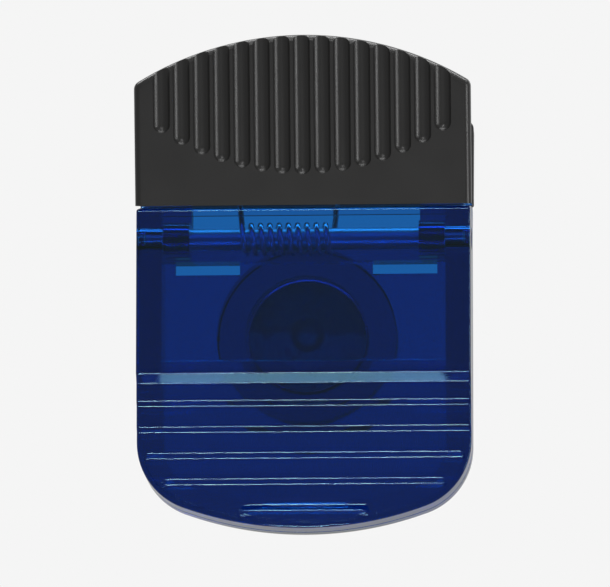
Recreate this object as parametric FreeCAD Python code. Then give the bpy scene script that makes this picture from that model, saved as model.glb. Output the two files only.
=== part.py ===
import FreeCAD, Part
import math
import os

from FreeCAD import Vector

# Spring-loaded magnetic paper clip: two see-through jaws on one pin, with rubber grips and a magnet.
# Millimetres. +Z is up, towards the grips, and the front faces -Y.
# The origin is the middle of the magnet's back face.

# Hinge
PIN_D = 3.9
PIN_INSET = 1.2  # each end of the pin lies this far inside the side of the jaw
PIN_Z = 16.4  # hinge axis, above the middle of the magnet
KNUCKLE_WALL = 1.05  # front jaw's plastic behind the pin
EAR_WALL = 1.25  # rear jaw's plastic round the pin
EAR_WIDTH = 4.6
TURN_GAP = 0.06  # radial, front jaw on the pin
EAR_FIT = 0.02  # radial, pin in the ears
SWING_GAP = 0.4  # ears and coil to the front panel
SIDE_GAP = 0.2  # ears to the front jaw's side walls
JAW_GAP = 0.25  # between the jaws above the tip

# Outline of both jaws, seen from the front
JAW_WIDTH = 59.6
TIP_DROP = 35.9  # tip, below the middle of the magnet
CORNER_R = 12.5
TIP_R = 63.0
SIDE_WALL = 4.5

# Front jaw: flat panel, ledge, steps across and then dished pockets
PANEL = 2.0
LEDGE_TOP = -8.46
LEDGE_RUN = 1.54
LEDGE_DEPTH = 1.4
STEP_TOP = -13.1
LAST_STEP_RISE = 4.4  # last step, above the tip
STEP_RUN = 1.0
STEP_DEPTH = 0.7
CROSS_STEPS = 2
POCKETS = 3
POCKET_INSET = 0.85
POCKET_INSET_GROWTH = 0.4
POCKET_SIDE_RUN = 0.1
POCKET_CORNER = 0.9
POCKET_FLOOR_CORNER = 0.35
STEP_ROUND = 0.5
TOP_ROUND = 0.6
EDGE_ROUND = 0.4
HOLLOW_RISER_TOP = -6.1
HOLLOW_RISER_FOOT = -8.5
HOLLOW_LOWER = 4.4  # depth of the hollow's wall below the ledge, from the front face
HOLLOW_END_Z = -31.0
TIP_LAND = 0.7  # least plastic in front of the parting plane, where the hollow ends

# Rear jaw
REAR_DEPTH = 5.0  # parting plane to the back face
REAR_PANEL = 2.0
BACK_SLOPE_Z = -16.0
BACK_SLOPE = 1.4
PAD_TOP = -27.0
BEAM_FOOT = 13.05
BEAM_TOP = 16.5
BEAM_GAP = 0.4  # coil to beam
UPPER_SLOT_HEIGHT = 2.0
UPPER_SLOTS = [(-23.5, -11.9), (11.9, 23.5)]
REAR_STEP_TOP = -4.7  # below this the rear panel is thicker, by a sloped step
REAR_STEP_HEIGHT = 1.27
REAR_STEP_RUN = 0.96

# Magnet and its boss
BOSS_HEIGHT = 7.6  # rear jaw's back face to the magnet's back face
BOSS_D = 32.3
MAGNET_D = 22.0
MAGNET_T = 4.2
MAGNET_FIT = 0.15  # radial
MAGNET_PROUD = 0.5
GLUE_T = 0.2
WEB = 1.4  # plastic between the magnet pocket and the recess in front of it
RECESS_D = 21.8
DIMPLE_D = 6.0
DIMPLE_DEPTH = 0.7
NUB_D = 1.6
NUB_HEIGHT = 0.5
GATE_Z = 0.7

# Levers and grips, drawn upright beside the hinge axis and then leaned about it
FRONT_LEAN = 12.0
REAR_LEAN = 12.0
FACE_PROUD = 0.6  # front grip, in front of the jaw's face
FRONT_GRIP_Z = 21.7  # foot of the front grip's outer face
REAR_GRIP_Z = 23.6  # foot of the rear grip's outer face
FRONT_GRIP_LENGTH = 30.2
REAR_GRIP_LENGTH = 23.2
SHELF_GAP = 0.55  # grip's foot to the jaw's shelf
GRIP_OVERHANG = 0.2  # each side of the grip, beyond the side of the jaw
GRIP_TOP_R = 57.0
GRIP_CORNER = 1.6
GRIP_ROUND = 1.2
GRIP_INNER_ROUND = 0.6
GRIP_SIDE = 1.6
GRIP_OUTER = 1.6
GRIP_INNER = 1.2
TONGUE = 2.0
TONGUE_FIT = 0.01
TONGUE_ROOT = 1.6  # tongue, below the shelf
FLUTES = 15
FLUTE_PITCH = 3.58
FLUTE_WIDTH = 3.0
FLUTE_DEPTH = 0.8
FLUTE_ARC_R = 45.2
FRONT_FLUTE_START = 5.4
REAR_FLUTE_START = 3.2

# Torsion spring
WIRE_D = 1.0
COIL_GAP = 0.1  # radial, coil to pin
COIL_PITCH = 1.66
COIL_TURNS = 10
COIL_START_X = -10.9
LEG_GAP = 0.2  # legs to the grips
LEG_BEND_R = 2.5
LEG_BEND_Z = 6.0  # bend of the front leg, above the hinge axis
LEG_TOP = 17.0  # legs' ends, along the levers from the hinge axis

# Values that follow from those above
PIN_R = PIN_D / 2
HALF = JAW_WIDTH / 2
INNER_HALF = HALF - SIDE_WALL
COIL_R = PIN_R + COIL_GAP + WIRE_D / 2
COIL_OUT = COIL_R + WIRE_D / 2
EAR_R = PIN_R + EAR_WALL
EAR_OUT = INNER_HALF - SIDE_GAP
EAR_IN = EAR_OUT - EAR_WIDTH
HINGE_BACK = PIN_R + KNUCKLE_WALL
REAR_REACH = max(HINGE_BACK + JAW_GAP, COIL_OUT + LEG_GAP)
FACE_REACH = max(EAR_R, COIL_OUT) + SWING_GAP + PANEL
BACK_Y = -BOSS_HEIGHT
PART_Y = BACK_Y - REAR_DEPTH
AXIS_Y = PART_Y - HINGE_BACK
FACE_Y = AXIS_Y - FACE_REACH
AXIS = Vector(0, AXIS_Y, PIN_Z)
STEP_PITCH = (STEP_TOP + TIP_DROP - LAST_STEP_RISE) / (CROSS_STEPS + POCKETS - 1)
CORNER_X = HALF - CORNER_R
TIP_CENTRE_Z = TIP_R - TIP_DROP
CORNER_Z = TIP_CENTRE_Z - math.sqrt((TIP_R - CORNER_R) ** 2 - CORNER_X**2)
GRIP_HALF = HALF + GRIP_OVERHANG
GRIP_T = GRIP_OUTER + GRIP_INNER + TONGUE + 2 * TONGUE_FIT
FRONT = -1
REAR = 1
FAR = 200.0


def in_yz(a, b):
    return Vector(0, a, b)


def in_xz(a, b):
    return Vector(a, 0, b)


def rounded(points, place):
    """Closed wire through corners given as (a, b, radius)."""
    corners = [place(a, b) for a, b, _ in points]
    arcs = []
    for i, (_, _, radius) in enumerate(points):
        corner = corners[i]
        back = (corners[i - 1] - corner).normalize()
        ahead = (corners[(i + 1) % len(points)] - corner).normalize()
        half = back.getAngle(ahead) / 2
        reach = radius / math.tan(half)
        middle = (back + ahead).normalize() * (radius / math.sin(half) - radius)
        arcs.append((corner + back * reach, corner + middle, corner + ahead * reach, radius))
    edges = []
    for i, (start, middle, end, radius) in enumerate(arcs):
        if radius:
            edges.append(Part.Arc(start, middle, end).toShape())
        follow = arcs[(i + 1) % len(arcs)][0]
        if (follow - end).Length > 1e-6:
            edges.append(Part.makeLine(end, follow))
    return Part.Wire(edges)


def along_x(wire, x0, x1):
    face = Part.Face(wire)
    face.translate(Vector(x0, 0, 0))
    return face.extrude(Vector(x1 - x0, 0, 0))


def along_y(wire, y0, y1):
    face = Part.Face(wire)
    face.translate(Vector(0, y0, 0))
    return face.extrude(Vector(0, y1 - y0, 0))


def box(x0, x1, y0, y1, z0, z1):
    return Part.makeBox(x1 - x0, y1 - y0, z1 - z0, Vector(x0, y0, z0))


def disc(diameter, y0, y1, z=0.0):
    return Part.makeCylinder(diameter / 2, y1 - y0, Vector(0, y0, z), Vector(0, 1, 0))


def bore(radius, x0, x1):
    return Part.makeCylinder(radius, x1 - x0, Vector(x0, AXIS_Y, PIN_Z), Vector(1, 0, 0))


def leaned(shape, side, lean):
    """Turns an upright lever piece outwards about the hinge axis."""
    turned = shape.copy()
    turned.rotate(AXIS, Vector(1, 0, 0), -side * lean)
    return turned


def lever_point(side, lean, out, up):
    """(y, z) of a point of a lever, given outwards and upwards from the hinge axis before the lean."""
    angle = math.radians(lean)
    y = side * (out * math.cos(angle) + up * math.sin(angle))
    z = up * math.cos(angle) - out * math.sin(angle)
    return AXIS_Y + y, PIN_Z + z


def lever_coordinates(side, lean, y, z):
    """Outwards and upwards distances, before the lean, of a point given as (y, z)."""
    angle = math.radians(lean)
    ahead = side * (y - AXIS_Y)
    rise = z - PIN_Z
    return ahead * math.cos(angle) - rise * math.sin(angle), ahead * math.sin(angle) + rise * math.cos(angle)


# Places of the two grips: outwards distance of the inner face, and upwards distance of the foot
FRONT_OUTER, FRONT_FOOT = lever_coordinates(FRONT, FRONT_LEAN, FACE_Y - FACE_PROUD, FRONT_GRIP_Z)
FRONT_INNER = FRONT_OUTER - GRIP_T
REAR_INNER = REAR_REACH
REAR_OUTER = REAR_INNER + GRIP_T
REAR_FOOT = (REAR_GRIP_Z - PIN_Z + REAR_OUTER * math.sin(math.radians(REAR_LEAN))) / math.cos(
    math.radians(REAR_LEAN)
)
FRONT_SHELF = FRONT_FOOT - SHELF_GAP
REAR_SHELF = REAR_FOOT - SHELF_GAP


def jaw_outline(inset, top):
    """Outline of a jaw from the front, moved inwards by inset and closed straight across at z = top."""
    half = HALF - inset
    corner = Vector(CORNER_X, 0, CORNER_Z)
    away = (corner - Vector(0, 0, TIP_CENTRE_Z)).normalize()
    swing = math.atan2(away.z, away.x) / 2
    side = Vector(half, 0, CORNER_Z)
    bulge = corner + Vector(math.cos(swing), 0, math.sin(swing)) * (CORNER_R - inset)
    join = corner + away * (CORNER_R - inset)
    tip = Vector(0, 0, inset - TIP_DROP)

    def mirrored(p):
        return Vector(-p.x, p.y, p.z)

    head = Vector(half, 0, top)
    edges = [
        Part.makeLine(head, side),
        Part.Arc(side, bulge, join).toShape(),
        Part.Arc(join, tip, mirrored(join)).toShape(),
        Part.Arc(mirrored(join), mirrored(bulge), mirrored(side)).toShape(),
        Part.makeLine(mirrored(side), mirrored(head)),
        Part.makeLine(mirrored(head), head),
    ]
    return Part.Wire(edges)


def pocket_wire(inset, top, round_r, y):
    """Outline moved inwards and cut across at z = top, with rounded upper corners, in the plane of y."""
    corner = Vector(CORNER_X, 0, CORNER_Z)
    tip_centre = Vector(0, 0, TIP_CENTRE_Z)
    join = corner + (corner - tip_centre).normalize() * (CORNER_R - inset)

    def touch(centre, radius):
        """Middle of the rounded corner, and the point where it meets the circle round centre."""
        drop = top - round_r - centre.z
        across = math.sqrt(max((radius - round_r) ** 2 - drop**2, 0))
        heart = Vector(centre.x + across, 0, top - round_r)
        return heart, centre + (heart - centre).normalize() * radius

    heart, meet = touch(corner, CORNER_R - inset)
    on_corner = meet.z > join.z
    if not on_corner:
        heart, meet = touch(tip_centre, TIP_R - inset)
    start = Vector(heart.x, 0, top)
    crown = heart + (start - heart + (meet - heart)).normalize() * round_r
    side = [Part.Arc(start, crown, meet).toShape()]
    low = meet
    if on_corner:
        bulge = corner + (meet - corner + (join - corner)).normalize() * (CORNER_R - inset)
        side.append(Part.Arc(meet, bulge, join).toShape())
        low = join
    other = [e.mirror(Vector(0, 0, 0), Vector(1, 0, 0)) for e in side]
    tip = Part.Arc(low, Vector(0, 0, inset - TIP_DROP), Vector(-low.x, 0, low.z)).toShape()
    across_top = Part.makeLine(start, Vector(-start.x, 0, top))
    wire = Part.Wire(Part.__sortEdges__(side + [tip] + other + [across_top]))
    wire.translate(Vector(0, y, 0))
    return wire


def riser(run, depth, radius, pieces=4):
    """(run, depth) points down a slope with a rounded brow and foot."""
    slope = math.atan2(depth, run)
    reach = radius * math.tan(slope / 2)
    brow = []
    for i in range(pieces + 1):
        turn = slope * i / pieces
        brow.append((radius * math.sin(turn) - reach, radius * (1 - math.cos(turn))))
    foot = [(run - a, depth - b) for a, b in reversed(brow)]
    return brow + foot


def pocket_cutter(number):
    """Dished pocket in the front face: its own step across the top and a narrow rim along the outline."""
    step = CROSS_STEPS + number
    level = FACE_Y + LEDGE_DEPTH + STEP_DEPTH * step
    top = STEP_TOP - STEP_PITCH * step
    inset = POCKET_INSET + POCKET_INSET_GROWTH * number
    slope = riser(STEP_RUN, STEP_DEPTH, STEP_ROUND)
    mouth = (slope[0][0], -STEP_DEPTH / 4)
    wires = []
    for run, depth in [mouth] + slope:
        share = run / STEP_RUN
        corner = POCKET_CORNER + (POCKET_FLOOR_CORNER - POCKET_CORNER) * share
        wires.append(pocket_wire(inset + POCKET_SIDE_RUN * share, top - run, corner, level + depth))
    return Part.makeLoft(wires, True, True)


def rounded_sides(jaw, y):
    """Rounds the jaw's whole outline, starting from its straight side edges in the plane of y."""
    seeds = [
        e
        for e in jaw.Edges
        if all(abs(abs(v.X) - HALF) < 1e-6 and abs(v.Y - y) < 1e-6 for v in e.Vertexes)
        and abs(e.Vertexes[0].X - e.Vertexes[-1].X) < 1e-6
    ]
    return jaw.makeFillet(EDGE_ROUND, seeds)


def tongue_outline(foot, length, start):
    """Outline of a tongue, inside its grip by the side wall, from start up."""
    return grip_outline(GRIP_HALF - GRIP_SIDE, start, foot + length - GRIP_SIDE, GRIP_TOP_R - GRIP_SIDE)


def grip_outline(half, foot, top, top_r):
    """Straight sides and foot, with an arc across the top. Heights are above the hinge axis."""
    shoulder = top - top_r + math.sqrt(top_r**2 - half**2)
    a = in_xz(-half, PIN_Z + foot)
    b = in_xz(half, PIN_Z + foot)
    c = in_xz(half, PIN_Z + shoulder)
    d = in_xz(-half, PIN_Z + shoulder)
    arc = Part.Arc(c, in_xz(0, PIN_Z + top), d).toShape()
    return Part.Wire([Part.makeLine(a, b), Part.makeLine(b, c), arc, Part.makeLine(d, a)])


def slab(wire, side, inner, outer):
    """Upright slab between two distances outwards from the hinge axis."""
    near, far = sorted((AXIS_Y + side * inner, AXIS_Y + side * outer))
    return along_y(wire, near, far)


def tongue(side, lean, inner, foot, length, shelf):
    wire = tongue_outline(foot, length, shelf - TONGUE_ROOT)
    start = inner + GRIP_INNER + TONGUE_FIT
    return leaned(slab(wire, side, start, start + TONGUE), side, lean)


def grip(side, lean, inner, foot, length, flute_start):
    """Rubber sleeve over a tongue, with flutes on its outer face."""
    outer = inner + GRIP_T
    face_y = AXIS_Y + side * outer
    inner_y = AXIS_Y + side * inner
    body = slab(grip_outline(GRIP_HALF, foot, foot + length, GRIP_TOP_R), side, inner, outer)
    shoulders = [
        e
        for e in body.Edges
        if abs(e.Vertexes[0].Y - e.Vertexes[1].Y) > GRIP_T / 2 and e.Vertexes[0].Z > PIN_Z + foot + 1
    ]
    body = body.makeFillet(GRIP_CORNER, shoulders)

    def rim(y):
        return [e for e in body.Edges if all(abs(v.Y - y) < 1e-6 for v in e.Vertexes)]

    def above_foot(edges):
        return [e for e in edges if max(v.Z for v in e.Vertexes) > PIN_Z + foot + 0.01]

    body = body.makeFillet(GRIP_ROUND, above_foot(rim(face_y)))
    body = body.makeFillet(GRIP_INNER_ROUND, above_foot(rim(inner_y)))
    start = inner + GRIP_INNER
    hollow = slab(tongue_outline(foot, length, foot - 1), side, start, start + TONGUE + 2 * TONGUE_FIT)
    body = body.cut(hollow)
    groove_r = (FLUTE_WIDTH**2 / 4 + FLUTE_DEPTH**2) / (2 * FLUTE_DEPTH)
    groove_y = face_y + side * (groove_r - FLUTE_DEPTH)
    cutters = []
    for i in range(FLUTES):
        x = (i - (FLUTES - 1) / 2) * FLUTE_PITCH
        rise = FLUTE_ARC_R - math.sqrt(FLUTE_ARC_R**2 - x**2)
        end = Vector(x, groove_y, PIN_Z + foot + flute_start + rise + FLUTE_WIDTH / 2)
        rod = Part.makeCylinder(groove_r, length, end, Vector(0, 0, 1))
        cutters.append(rod.fuse(Part.makeSphere(groove_r, end)))
    body = body.cut(Part.makeCompound(cutters))
    return leaned(body, side, lean)


def front_jaw():
    levels = [(FACE_Y, LEDGE_TOP, STEP_ROUND), (FACE_Y + LEDGE_DEPTH, LEDGE_TOP - LEDGE_RUN, STEP_ROUND)]
    for i in range(CROSS_STEPS):
        y = FACE_Y + LEDGE_DEPTH + STEP_DEPTH * i
        z = STEP_TOP - STEP_PITCH * i
        levels.append((y, z, STEP_ROUND))
        levels.append((y + STEP_DEPTH, z - STEP_RUN, STEP_ROUND))
    angle = math.radians(FRONT_LEAN)
    head_y, head_z = lever_point(FRONT, FRONT_LEAN, -HINGE_BACK, FRONT_SHELF)
    brow_z = head_z - (head_y - FACE_Y) * math.tan(angle)
    foot_z = -TIP_DROP - 1
    outer = [(FACE_Y, brow_z, TOP_ROUND)] + levels
    outer += [
        (levels[-1][0], foot_z, 0),
        (PART_Y, foot_z, 0),
        (PART_Y, PIN_Z + HINGE_BACK * math.tan(angle / 2), HINGE_BACK),
        (head_y, head_z, TOP_ROUND),
    ]
    jaw = along_x(rounded(outer, in_yz), -HALF, HALF)
    jaw = jaw.common(along_y(jaw_outline(0, FAR), FACE_Y - 1, PART_Y + 1))
    jaw = rounded_sides(jaw, FACE_Y)

    # Hollow behind the panel, open at the top between the side walls
    panel_y = FACE_Y + PANEL
    hollow = [
        (panel_y, FAR, 0),
        (panel_y, HOLLOW_RISER_TOP, 0.5),
        (FACE_Y + HOLLOW_LOWER, HOLLOW_RISER_FOOT, 0.5),
        (PART_Y - TIP_LAND, HOLLOW_END_Z, 0.3),
        (PART_Y + 1, HOLLOW_END_Z, 0),
        (PART_Y + 1, FAR, 0),
    ]
    space = along_x(rounded(hollow, in_yz), -INNER_HALF, INNER_HALF)
    space = space.common(along_y(jaw_outline(SIDE_WALL, FAR), FACE_Y - 1, PART_Y + 2))
    jaw = jaw.cut(space)

    # Neck that carries the tongue on the panel
    tongue_in = FRONT_INNER + GRIP_INNER + TONGUE_FIT
    neck_top = lever_point(FRONT, FRONT_LEAN, tongue_in, FRONT_SHELF)
    neck_out = lever_point(FRONT, FRONT_LEAN, tongue_in + TONGUE, FRONT_SHELF)
    neck = [
        (panel_y - 0.2, neck_top[1] - 1.6, 0),
        (panel_y, neck_top[1] - 1.6, 0),
        (neck_top[0], neck_top[1], 0),
        (neck_out[0], neck_out[1], 0),
    ]
    jaw = jaw.fuse(along_x(rounded(neck, in_yz), -INNER_HALF - 0.5, INNER_HALF + 0.5))
    jaw = jaw.fuse(tongue(FRONT, FRONT_LEAN, FRONT_INNER, FRONT_FOOT, FRONT_GRIP_LENGTH, FRONT_SHELF))
    for i in range(POCKETS):
        jaw = jaw.cut(pocket_cutter(i))
    jaw = jaw.cut(bore(PIN_R + TURN_GAP, -FAR, FAR))
    return jaw.removeSplitter()


def rear_jaw():
    front_y = AXIS_Y + REAR_REACH
    angle = math.radians(REAR_LEAN)
    head_front = lever_point(REAR, REAR_LEAN, REAR_REACH, REAR_SHELF)
    root_t = BACK_Y - front_y
    head_back = lever_point(REAR, REAR_LEAN, REAR_REACH + root_t, REAR_SHELF)
    bend = math.tan(angle / 2)
    foot_z = -TIP_DROP - 1
    outer = [
        (front_y, PIN_Z - REAR_REACH * bend, 2.0),
        (front_y, PAD_TOP + 1, 1.0),
        (PART_Y, PAD_TOP, 1.0),
        (PART_Y, foot_z, 0),
        (BACK_Y - BACK_SLOPE, foot_z, 0),
        (BACK_Y, BACK_SLOPE_Z, 10.0),
        (BACK_Y, PIN_Z - (REAR_REACH + root_t) * bend, 4.0),
        (head_back[0], head_back[1], TOP_ROUND),
        (head_front[0], head_front[1], TOP_ROUND),
    ]
    jaw = along_x(rounded(outer, in_yz), -HALF, HALF)
    jaw = jaw.common(along_y(jaw_outline(0, FAR), PART_Y - 1, FAR))
    jaw = rounded_sides(jaw, BACK_Y)
    jaw = jaw.fuse(tongue(REAR, REAR_LEAN, REAR_INNER, REAR_FOOT, REAR_GRIP_LENGTH, REAR_SHELF))
    boss = disc(BOSS_D, BACK_Y - REAR_PANEL / 2, -MAGNET_PROUD)
    boss = boss.makeFillet(EDGE_ROUND, [e for e in boss.Edges if e.Closed and e.Vertexes[0].Y > BACK_Y])
    jaw = jaw.fuse(boss)

    # Hollow between beam and pad, and the window between beam and grip
    floor_y = BACK_Y - REAR_PANEL
    hollow = [
        (front_y - 2, PAD_TOP + 1, 0),
        (front_y + 0.5, PAD_TOP + 1, 0),
        (floor_y - REAR_STEP_RUN, PAD_TOP + 3.5, 0.5),
        (floor_y - REAR_STEP_RUN, REAR_STEP_TOP - REAR_STEP_HEIGHT, 0),
        (floor_y, REAR_STEP_TOP, 0),
        (floor_y, BEAM_FOOT, 0.3),
        (front_y - 2, BEAM_FOOT, 0),
    ]
    space = along_x(rounded(hollow, in_yz), -INNER_HALF, INNER_HALF)
    jaw = jaw.cut(space.common(along_y(jaw_outline(SIDE_WALL, FAR), PART_Y - 2, FAR)))
    window = box(-EAR_IN, EAR_IN, AXIS_Y, AXIS_Y + FAR, BEAM_TOP, PIN_Z + 2 * REAR_SHELF)
    top = leaned(box(-FAR, FAR, AXIS_Y - FAR, AXIS_Y + FAR, PIN_Z + REAR_SHELF, PIN_Z + FAR), REAR, REAR_LEAN)
    jaw = jaw.cut(window.cut(top))
    beam_y = AXIS_Y + COIL_OUT + BEAM_GAP
    jaw = jaw.cut(box(-EAR_IN, EAR_IN, AXIS_Y, beam_y, BEAM_FOOT - 1, BEAM_TOP + 1))

    # Ears on the pin
    for x0, x1 in ((-EAR_OUT, -EAR_IN), (EAR_IN, EAR_OUT)):
        web = box(x0, x1, AXIS_Y, front_y + 1, PIN_Z - EAR_R, PIN_Z + EAR_R)
        jaw = jaw.fuse(bore(EAR_R, x0, x1).fuse(web))
    jaw = jaw.cut(bore(PIN_R + EAR_FIT, -EAR_OUT - 0.1, EAR_OUT + 0.1))

    # Slots, magnet pocket and the recess in front of it
    for x0, x1 in UPPER_SLOTS:
        jaw = jaw.cut(box(x0, x1, PART_Y, 1, BEAM_FOOT - UPPER_SLOT_HEIGHT, BEAM_FOOT))
    pocket_y = -MAGNET_T - GLUE_T
    jaw = jaw.cut(disc(MAGNET_D + 2 * MAGNET_FIT, pocket_y, 1))
    recess_y = pocket_y - WEB
    jaw = jaw.cut(disc(RECESS_D, PART_Y, recess_y))
    jaw = jaw.cut(disc(DIMPLE_D, recess_y - 1, recess_y + DIMPLE_DEPTH, GATE_Z))
    nub = disc(NUB_D, recess_y + DIMPLE_DEPTH - NUB_HEIGHT, recess_y + WEB / 2 + DIMPLE_DEPTH / 2, GATE_Z)
    jaw = jaw.fuse(nub)
    return jaw.removeSplitter()


def biarc(p0, t0, p1, t1):
    """Two arcs from p0 to p1 that leave along t0 and arrive along t1."""
    v = p1 - p0
    t = t0 + t1
    k = 2 * (1 - t0.dot(t1))
    vt = v.dot(t)
    d = (math.sqrt(vt * vt + k * v.dot(v)) - vt) / k
    q0 = p0 + t0 * d
    q1 = p1 - t1 * d
    middle = (q0 + q1) * 0.5
    arcs = []
    for a, q, b in ((p0, q0, middle), (middle, q1, p1)):
        half = (b - a) * 0.5
        centre = a + half
        turn = (q - a).getAngle(b - a)
        crown = centre + (q - centre).normalize() * (half.Length * math.tan(turn / 2))
        arcs.append(Part.Arc(a, crown, b).toShape())
    return arcs


def torsion_spring():
    """One wire: down the front leg, round the coil, and up the rear leg, with an even lead along X."""
    lead = COIL_PITCH / (2 * math.pi * COIL_R)
    front = math.radians(FRONT_LEAN)
    rear = math.radians(REAR_LEAN)
    leg_out = FRONT_INNER - LEG_GAP - WIRE_D / 2
    bend_y = -(leg_out + LEG_BEND_Z * math.sin(front)) / math.cos(front)
    reach = math.hypot(bend_y, LEG_BEND_Z)
    first = math.atan2(LEG_BEND_Z, bend_y) + math.acos(COIL_R / reach)
    last = 2 * math.pi * COIL_TURNS - rear

    # Flat path in (y, z) about the hinge axis, as straight runs and turns
    def unit(angle):
        return Vector(0, math.cos(angle), math.sin(angle))

    bend = Vector(0, bend_y, LEG_BEND_Z)
    down_leg = Vector(0, math.sin(front), -math.cos(front))
    to_coil = unit(first + math.pi / 2)
    trim = LEG_BEND_R * math.tan(down_leg.getAngle(to_coil) / 2)
    leg_end = bend - down_leg * (LEG_TOP - LEG_BEND_Z)
    stops = [leg_end, bend - down_leg * trim, bend + to_coil * trim, unit(first) * COIL_R]
    ways = [down_leg, down_leg, to_coil, to_coil]
    lengths = [0.0, (stops[1] - stops[0]).Length]
    lengths.append(lengths[-1] + LEG_BEND_R * down_leg.getAngle(to_coil))
    lengths.append(lengths[-1] + (stops[3] - stops[2]).Length)
    quarters = math.ceil((last - first) / (math.pi / 2))
    for i in range(1, quarters + 1):
        angle = first + (last - first) * i / quarters
        stops.append(unit(angle) * COIL_R)
        ways.append(unit(angle + math.pi / 2))
        lengths.append(lengths[3] + COIL_R * (angle - first))
    stops.append(stops[-1] + ways[-1] * LEG_TOP)
    ways.append(ways[-1])
    lengths.append(lengths[-1] + LEG_TOP)

    points = []
    tangents = []
    for stop, way, length in zip(stops, ways, lengths):
        points.append(AXIS + stop + Vector(COIL_START_X + lead * (length - lengths[3]), 0, 0))
        tangents.append((way + Vector(lead, 0, 0)).normalize())
    edges = []
    for i in range(len(points) - 1):
        if tangents[i].getAngle(tangents[i + 1]) < 1e-6:
            edges.append(Part.makeLine(points[i], points[i + 1]))
        else:
            edges += biarc(points[i], tangents[i], points[i + 1], tangents[i + 1])
    path = Part.Wire(edges)
    ring = Part.Wire([Part.makeCircle(WIRE_D / 2, points[0], tangents[0])])

    # Least gap between parts of the wire that are more than half a turn apart along it
    samples = []
    for e in edges:
        samples += e.discretize(Distance=0.25)[:-1]
    apart = int(math.pi * COIL_R / 0.2)
    least = min(
        (samples[i] - samples[j]).Length
        for i in range(0, len(samples), 2)
        for j in range(i + apart, min(i + 3 * apart, len(samples)), 2)
    )
    print("torsion spring, least gap to itself: %.2f mm" % (least - WIRE_D))
    return path.makePipeShell([ring], True, False)


def build():
    pin = bore(PIN_R, -HALF + PIN_INSET, HALF - PIN_INSET)
    pin = pin.makeChamfer(0.3, [e for e in pin.Edges if e.Closed])
    magnet = disc(MAGNET_D, -MAGNET_T, 0)
    magnet = magnet.makeChamfer(0.3, [e for e in magnet.Edges if e.Closed])
    return {
        "front_jaw": front_jaw(),
        "rear_jaw": rear_jaw(),
        "front_grip": grip(
            FRONT, FRONT_LEAN, FRONT_INNER, FRONT_FOOT, FRONT_GRIP_LENGTH, FRONT_FLUTE_START
        ),
        "rear_grip": grip(REAR, REAR_LEAN, REAR_INNER, REAR_FOOT, REAR_GRIP_LENGTH, REAR_FLUTE_START),
        "hinge_pin": pin,
        "torsion_spring": torsion_spring(),
        "magnet": magnet,
        "magnet_glue": disc(MAGNET_D - 1.0, -MAGNET_T - GLUE_T, -MAGNET_T),
    }


os.makedirs("parts", exist_ok=True)
for name, shape in build().items():
    if len(shape.Solids) != 1 or not shape.isValid():
        raise ValueError("%s: %d solids, valid %s" % (name, len(shape.Solids), shape.isValid()))
    shape.Solids[0].exportStep("parts/%s.step" % name)
    print("%s %.0f mm3" % (name, shape.Volume))
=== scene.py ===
"""Looks of the spring-loaded magnetic paper clip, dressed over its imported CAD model."""

import math

import bmesh
import bpy
from mathutils import Matrix, Vector


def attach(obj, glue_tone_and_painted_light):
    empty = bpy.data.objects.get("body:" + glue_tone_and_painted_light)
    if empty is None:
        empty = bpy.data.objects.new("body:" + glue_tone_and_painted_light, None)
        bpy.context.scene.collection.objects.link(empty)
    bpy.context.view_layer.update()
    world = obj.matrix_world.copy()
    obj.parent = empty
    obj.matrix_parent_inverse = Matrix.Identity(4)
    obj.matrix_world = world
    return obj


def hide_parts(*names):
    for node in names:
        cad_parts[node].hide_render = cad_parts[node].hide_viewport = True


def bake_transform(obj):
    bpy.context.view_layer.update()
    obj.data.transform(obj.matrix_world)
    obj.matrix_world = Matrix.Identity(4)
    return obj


MM = 0.001

# Places on the part, in metres
PARTING_Y = -12.6 * MM
GLUE_FRONT_Y = -4.4 * MM
GATE = Vector((0.0, -4.4, 0.7)) * MM

# The thin plastic in front of the magnet, tinted paler there partly as painted light: its rim, its front and
# its back, each from and to
WEB_RIM = (10.6 * MM, 11.0 * MM)
WEB_FRONT = (-6.0 * MM, -5.9 * MM)
WEB_BACK = (-4.3 * MM, -4.2 * MM)

# Touching faces of clear pieces keep a hair of air between them
HAIR = 0.04 * MM

# Edges that turn more than this stay crisp, and points nearer than this are one
CRISP_ANGLE = math.radians(38)
WELD = 0.002 * MM

# The camera: a little to the right, a little below, and far away
CAMERA_AZIMUTH = math.radians(3.0)
CAMERA_ELEVATION = math.radians(-9.5)
CAMERA_DISTANCE = 1.5
LOOKED_AT = Vector((0.05, -15.6, 6.70)) * MM
FRAME_WIDTH = 108.9 * MM
SENSOR_WIDTH = 36.0

# Levels of the room, for what the camera sees, for matte surfaces, in reflections and through the plastic
BACKGROUND = 0.913
ROOM_LIGHT = 0.42
MIRRORED_FRONT = 0.36
MIRRORED_BACK = 0.5
THROUGH_FRONT = 0.5
THROUGH_TOP_AND_SIDES = 2.6
THROUGH_BACK = 1.0

# The floor, which the camera sees nearly as pale as the background
FLOOR_TONE = 0.6
FLOOR_PALENESS = 0.8
FLOOR_REACH = 60.0
FLOOR_Z = -1.6

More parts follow.
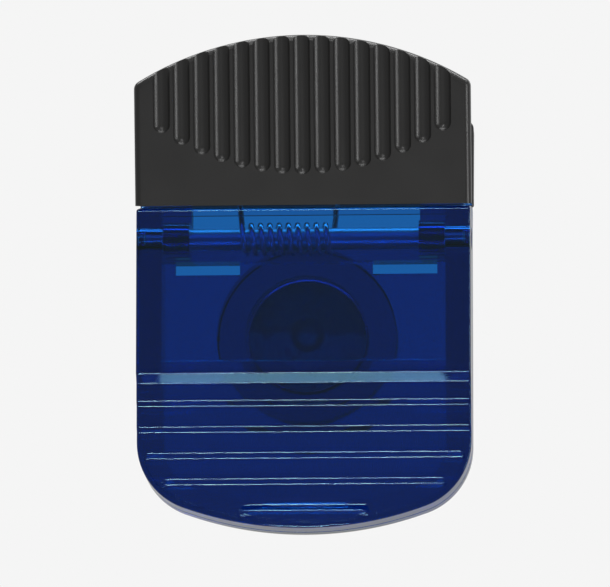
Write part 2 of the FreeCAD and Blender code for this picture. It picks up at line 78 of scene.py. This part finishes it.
# Softboxes, with width and height in metres
WHITE = (1.0, 1.0, 1.0)
PALE_BLUE = (0.6, 0.86, 1.0)
SOFTBOXES = [
    {"name": "overhead", "place": (0.0, 0.15, 0.79), "aim": (0.0, -0.012, 0.0),
     "size": (1.30, 0.22), "watts": 8.4, "tone": WHITE},
    {"name": "right_side", "place": (0.82, -0.48, 0.0), "aim": (0.0, -0.012, 0.01),
     "size": (0.26, 0.55), "watts": 3.0, "tone": WHITE},
    {"name": "key", "place": (0.05, -0.36, 0.86), "aim": (0.0, -0.02, 0.03),
     "size": (0.70, 0.16), "watts": 2.7, "tone": WHITE},
    {"name": "high_front", "place": (-0.04, -0.74, 0.44), "aim": (0.0, -0.02, 0.02),
     "size": (0.16, 0.20), "watts": 1.0, "tone": WHITE},
    {"name": "low_front", "place": (-0.035, -0.67, -0.565), "aim": (0.0, -0.02, -0.02),
     "size": (0.17, 0.25), "watts": 2.9, "tone": WHITE},
    {"name": "ledge_card", "place": (-0.045, -0.24, -0.87), "aim": (0.0, -0.02, -0.01),
     "size": (0.08, 0.12), "watts": 0.16, "tone": PALE_BLUE},
]


class Value:
    """A shader socket that Python operators work on."""

    def __init__(self, finish, socket):
        self.finish = finish
        self.socket = socket

    def maths(self, operation, first, second):
        return self.finish.node("ShaderNodeMath", {"operation": operation}, {0: first, 1: second})

    def __add__(self, other):
        return self.maths("ADD", self, other)

    def __radd__(self, other):
        return self.maths("ADD", other, self)

    def __sub__(self, other):
        return self.maths("SUBTRACT", self, other)

    def __rsub__(self, other):
        return self.maths("SUBTRACT", other, self)

    def __mul__(self, other):
        return self.maths("MULTIPLY", self, other)

    def __rmul__(self, other):
        return self.maths("MULTIPLY", other, self)


class Finish:
    """The node tree of one material, or of the world."""

    def __init__(self, tree):
        self.tree = tree
        tree.nodes.clear()

    def node(self, kind, settings, sockets, out=0):
        made = self.tree.nodes.new(kind)
        for name, value in settings.items():
            setattr(made, name, value)
        for name, value in sockets.items():
            if isinstance(value, Value):
                self.tree.links.new(value.socket, made.inputs[name])
            else:
                made.inputs[name].default_value = value
        if made.outputs:
            return Value(self, made.outputs[out])

    def place(self):
        return self.node("ShaderNodeTexCoord", {}, {}, "Object")

    def along(self, axis, vector):
        return self.node("ShaderNodeSeparateXYZ", {}, {"Vector": vector}, axis)

    def ray(self, kind):
        return self.node("ShaderNodeLightPath", {}, {}, kind)

    def noise(self, scale, detail, place):
        return self.node("ShaderNodeTexNoise", {}, {"Vector": place, "Scale": scale, "Detail": detail}, "Fac")

    def smooth_step(self, value, low, high):
        settings = {"interpolation_type": "SMOOTHSTEP"}
        return self.node("ShaderNodeMapRange", settings, {"Value": value, "From Min": low, "From Max": high})

    def mixed(self, factor, first, second):
        return self.node("ShaderNodeMix", {"data_type": "RGBA"}, {0: factor, 6: first, 7: second}, 2)

    def bump(self, height, strength, distance):
        return self.node("ShaderNodeBump", {}, {"Height": height, "Strength": strength, "Distance": distance})


def colour(red, green, blue):
    return (red, green, blue, 1.0)


def grey(level):
    return colour(level, level, level)


def new_material(name):
    material = bpy.data.materials.new(name)
    material.use_nodes = True
    return material, Finish(material.node_tree)


# Finishes of the pieces

def clear_blue_plastic():
    """Polished tinted plastic, paler where it is thin in front of the magnet, partly for its thinness and
    partly as painted light that brightens the magnet seen behind it.
    """
    material, finish = new_material("clear_blue_plastic")
    place = finish.place()
    depth_y = finish.along("Y", place)
    flat = finish.node("ShaderNodeVectorMath", {"operation": "MULTIPLY"}, {0: place, 1: (1.0, 0.0, 1.0)})
    radius = finish.node("ShaderNodeVectorMath", {"operation": "LENGTH"}, {0: flat}, "Value")
    # This mask marks the thin plastic in front of the magnet, tinted paler partly for its thinness and partly
    # as painted light on the magnet behind.
    thin_web_and_painted_light = 1.0 - finish.smooth_step(radius, *WEB_RIM)
    thin_web_and_painted_light = thin_web_and_painted_light * finish.smooth_step(depth_y, *WEB_FRONT)
    thin_web_and_painted_light = thin_web_and_painted_light * (1.0 - finish.smooth_step(depth_y, *WEB_BACK))
    deep_tint = colour(0.006, 0.13, 0.43)
    thin_and_painted_light_tint = colour(0.7, 0.86, 1.0)
    surface = finish.node("ShaderNodeBsdfPrincipled", {}, {
        "Base Color": finish.mixed(thin_web_and_painted_light, deep_tint, thin_and_painted_light_tint),
        "Roughness": 0.02,
        "IOR": 1.49,
        "Specular Tint": colour(0.5, 0.84, 1.0),
        "Transmission Weight": 1.0,
    })
    depth = finish.node("ShaderNodeVolumeAbsorption", {}, {
        "Color": colour(0.0, 0.0, 0.33),
        "Density": 130.0,
    })
    finish.node("ShaderNodeOutputMaterial", {}, {"Surface": surface, "Volume": depth})
    return material


def grip_rubber():
    """Black rubber with a soft gloss and the fine grain of its mould."""
    material, finish = new_material("grip_rubber")
    place = finish.place()
    grain = finish.noise(4200.0, 2.0, place)
    wear = finish.noise(160.0, 3.0, place)
    surface = finish.node("ShaderNodeBsdfPrincipled", {}, {
        "Base Color": colour(0.012, 0.0118, 0.0115),
        "Roughness": 0.28 + 0.10 * wear,
        "Specular IOR Level": 0.45,
        "Normal": finish.bump(grain, 0.35, 0.03 * MM),
    })
    finish.node("ShaderNodeOutputMaterial", {}, {"Surface": surface})
    return material


def bright_steel(name, tone, roughness):
    """Drawn or plated steel with faint uneven polish."""
    material, finish = new_material(name)
    polish = finish.noise(900.0, 3.0, finish.place())
    surface = finish.node("ShaderNodeBsdfPrincipled", {}, {
        "Base Color": tone,
        "Metallic": 1.0,
        "Roughness": roughness + 0.08 * polish,
    })
    finish.node("ShaderNodeOutputMaterial", {}, {"Surface": surface})
    return material


def cured_glue():
    """Film of glue with random streaks, lighter on its lower part as painted light from below, and with a
    ring of painted shade round the gate dimple.
    """
    material, finish = new_material("cured_glue")
    place = finish.place()
    # The lower part of the film is drawn lighter, with a noisy edge, as painted light from below.
    edge = finish.along("Z", place) + 3.0 * MM * (finish.noise(260.0, 3.0, place) - 0.5)
    painted_lit_lower_part = 1.0 - finish.smooth_step(edge, 0.4 * MM, 1.8 * MM)
    # A dark ring round the gate is painted shade of the gate dimple's rim.
    from_gate = finish.node("ShaderNodeVectorMath", {"operation": "DISTANCE"}, {0: place, 1: GATE}, "Value")
    around_gate = finish.smooth_step(from_gate, 1.2 * MM, 2.2 * MM)
    beyond_gate = finish.smooth_step(from_gate, 2.6 * MM, 3.4 * MM)
    streaks = finish.smooth_step(finish.noise(420.0, 4.0, place), 0.36, 0.46)
    # The film's tone mixes its streaks with the painted light on its lower part and the painted shade round
    # the gate.
    glue_tone_and_painted_light = (0.25 + 0.75 * painted_lit_lower_part) * (1.0 - around_gate * (1.0 - beyond_gate)) * (0.55 + 0.45 * streaks)
    surface = finish.node("ShaderNodeBsdfPrincipled", {}, {
        "Base Color": finish.mixed(glue_tone_and_painted_light, grey(0.3), colour(0.94, 0.93, 0.91)),
        "Roughness": 0.35,
    })
    finish.node("ShaderNodeOutputMaterial", {}, {"Surface": surface})
    return material


# Pieces

def new_object(name, shape, material):
    mesh = bpy.data.meshes.new(name)
    shape.to_mesh(mesh)
    shape.free()
    mesh.materials.append(material)
    made = bpy.data.objects.new(name, mesh)
    bpy.context.scene.collection.objects.link(made)
    return made


def smooth_piece(name, node, material, touching_y=None):
    """A welded, smoothly shaded piece that stands for a CAD node."""
    solid = bmesh.new()
    solid.from_mesh(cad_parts[node].data)
    bmesh.ops.remove_doubles(solid, verts=solid.verts[:], dist=WELD)
    if touching_y is not None:
        touching = [point for point in solid.verts if abs(point.co.y - touching_y) < WELD]
        bmesh.ops.translate(solid, verts=touching, vec=(0.0, HAIR, 0.0))
    for face in solid.faces:
        face.smooth = True
    for edge in solid.edges:
        edge.smooth = edge.calc_face_angle(0.0) < CRISP_ANGLE
    piece = new_object(name, solid, material)
    flats = piece.modifiers.new("flat faces stay flat", "WEIGHTED_NORMAL")
    flats.mode = "FACE_AREA"
    flats.weight = 80
    flats.keep_sharp = True
    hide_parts(node)
    return piece


def dress_clip():
    blue = clear_blue_plastic()
    rubber = grip_rubber()
    pin = bright_steel("pin_steel", colour(0.72, 0.73, 0.75), 0.36)
    wire = bright_steel("spring_steel", colour(0.84, 0.85, 0.87), 0.22)
    plating = bright_steel("magnet_plating", colour(0.68, 0.68, 0.69), 0.22)
    front = [
        smooth_piece("front_jaw_clear", "front_jaw", blue),
        smooth_piece("front_grip_rubber", "front_grip", rubber),
    ]
    rear = [
        smooth_piece("rear_jaw_clear", "rear_jaw", blue, PARTING_Y),
        smooth_piece("rear_grip_rubber", "rear_grip", rubber),
        smooth_piece("hinge_pin_steel", "hinge_pin", pin),
        smooth_piece("magnet_plated", "magnet", plating),
        smooth_piece("magnet_glue_film", "magnet_glue", cured_glue(), GLUE_FRONT_Y),
    ]
    for piece in front:
        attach(piece, "front_half")
    for piece in rear:
        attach(piece, "rear_half")
    spring = smooth_piece("torsion_spring_wire", "torsion_spring", wire)
    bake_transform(spring)


# Studio

def studio_world():
    """A white room, dimmer in reflections, and through the plastic brighter from above and the sides."""
    world = bpy.data.worlds.new("studio")
    bpy.context.scene.world = world
    world.use_nodes = True
    finish = Finish(world.node_tree)
    direction = finish.node("ShaderNodeTexCoord", {}, {}, "Generated")
    sideways = finish.node("ShaderNodeMath", {"operation": "ABSOLUTE"}, {0: finish.along("X", direction)})
    behind = finish.smooth_step(finish.along("Y", direction), -0.25, 0.35)
    top_and_sides = finish.smooth_step(finish.along("Z", direction) + 0.8 * sideways, 0.2, 0.72)
    mirrored = finish.mixed(behind, grey(MIRRORED_FRONT), grey(MIRRORED_BACK))
    front_light = finish.mixed(top_and_sides, grey(THROUGH_FRONT), grey(THROUGH_TOP_AND_SIDES))
    shining = finish.mixed(behind, front_light, grey(THROUGH_BACK))
    room = finish.mixed(finish.ray("Is Glossy Ray"), grey(ROOM_LIGHT), mirrored)
    room = finish.mixed(finish.ray("Is Transmission Ray"), room, shining)
    light = finish.node("ShaderNodeBackground", {}, {
        "Color": finish.mixed(finish.ray("Is Camera Ray"), room, grey(BACKGROUND)),
        "Strength": 1.0,
    })
    finish.node("ShaderNodeOutputWorld", {}, {"Surface": light})


def pale_floor():
    """A wide floor well below the clip."""
    material, finish = new_material("pale_floor")
    matte = finish.node("ShaderNodeBsdfPrincipled", {}, {"Base Color": grey(FLOOR_TONE), "Roughness": 0.8})
    pale = finish.node("ShaderNodeEmission", {}, {"Color": grey(BACKGROUND), "Strength": 1.0})
    paleness = FLOOR_PALENESS * finish.ray("Is Camera Ray")
    surface = finish.node("ShaderNodeMixShader", {}, {0: paleness, 1: matte, 2: pale})
    finish.node("ShaderNodeOutputMaterial", {}, {"Surface": surface})
    sheet = bmesh.new()
    low = Matrix.Translation((0.0, 0.0, FLOOR_Z))
    bmesh.ops.create_grid(sheet, x_segments=1, y_segments=1, size=FLOOR_REACH, matrix=low)
    floor = new_object("floor", sheet, material)
    floor.visible_glossy = False
    floor.visible_transmission = False


def softbox(name, place, aim, size, watts, tone):
    lamp = bpy.data.lights.new(name, "AREA")
    lamp.shape = "RECTANGLE"
    lamp.size, lamp.size_y = size
    lamp.energy = watts
    lamp.color = tone
    box = bpy.data.objects.new(name, lamp)
    box.location = place
    box.rotation_euler = (Vector(aim) - Vector(place)).to_track_quat("-Z", "Y").to_euler()
    box.visible_camera = False
    bpy.context.scene.collection.objects.link(box)


def camera():
    forward = Vector((
        -math.sin(CAMERA_AZIMUTH) * math.cos(CAMERA_ELEVATION),
        math.cos(CAMERA_AZIMUTH) * math.cos(CAMERA_ELEVATION),
        -math.sin(CAMERA_ELEVATION),
    ))
    view = bpy.data.cameras.new("photo_view")
    view.sensor_fit = "HORIZONTAL"
    view.sensor_width = SENSOR_WIDTH
    view.lens = SENSOR_WIDTH * CAMERA_DISTANCE / FRAME_WIDTH
    view.clip_start = 0.05
    view.clip_end = 200.0
    stand = bpy.data.objects.new("photo_view", view)
    stand.location = LOOKED_AT - forward * CAMERA_DISTANCE
    stand.rotation_euler = forward.to_track_quat("-Z", "Y").to_euler()
    bpy.context.scene.collection.objects.link(stand)
    bpy.context.scene.camera = stand


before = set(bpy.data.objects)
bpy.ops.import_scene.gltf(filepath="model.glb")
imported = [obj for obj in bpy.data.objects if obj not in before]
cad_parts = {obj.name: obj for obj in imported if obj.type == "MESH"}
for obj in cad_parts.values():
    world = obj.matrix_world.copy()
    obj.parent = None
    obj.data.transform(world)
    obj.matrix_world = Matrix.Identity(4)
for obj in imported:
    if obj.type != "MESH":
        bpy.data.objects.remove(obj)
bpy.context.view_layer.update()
dress_clip()
studio_world()
pale_floor()
for settings in SOFTBOXES:
    softbox(**settings)
camera()
bpy.context.scene.view_settings.view_transform = "Standard"
